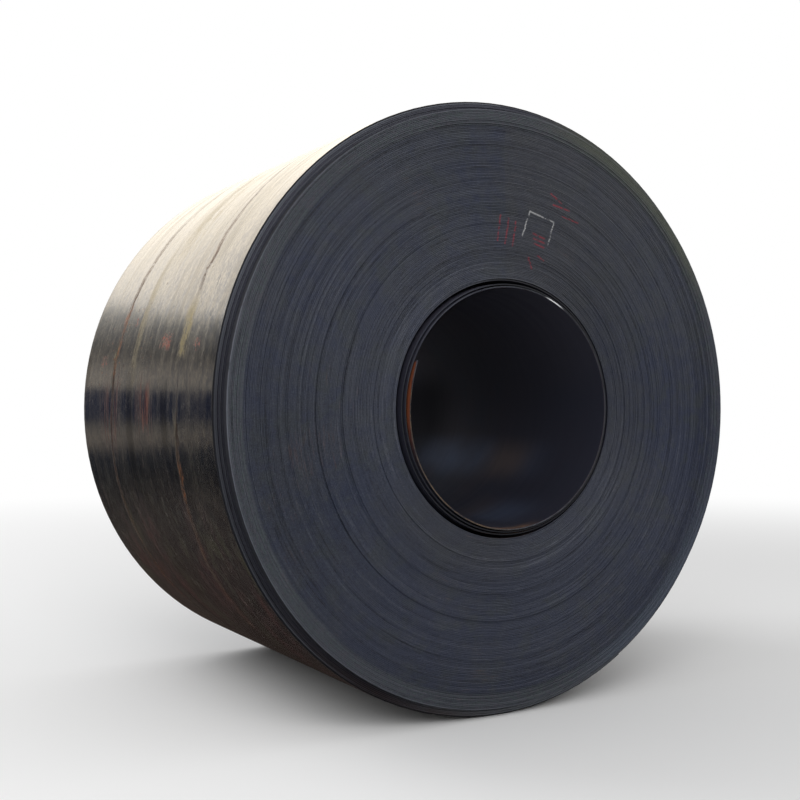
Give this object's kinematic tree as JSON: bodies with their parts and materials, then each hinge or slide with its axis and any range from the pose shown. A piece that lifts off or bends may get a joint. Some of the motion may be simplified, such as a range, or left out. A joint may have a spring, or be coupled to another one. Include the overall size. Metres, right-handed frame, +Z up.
{
  "type": "steel coil",
  "caption": "Hot-rolled steel strip wound into a coil, lying on its side, with an open bore, a set-back rim and turns that have slid a little at both ends.",
  "frame": {"origin": "bottom centre of the coil's bounding box, on the level floor that the coil lies on", "axes": "+Z up; Y along the bore, with the end that the slack inner turns slid out of facing -Y; +X to the right when that end is looked at"},
  "size_m": [1.978, 1.416, 1.978],
  "materials": {
    "mill_scale": "dark blue-grey mill scale with light rust, strip edges matt"
  },
  "bodies": {
    "root": {"coil": "mill_scale"}
  },
  "joints": []
}
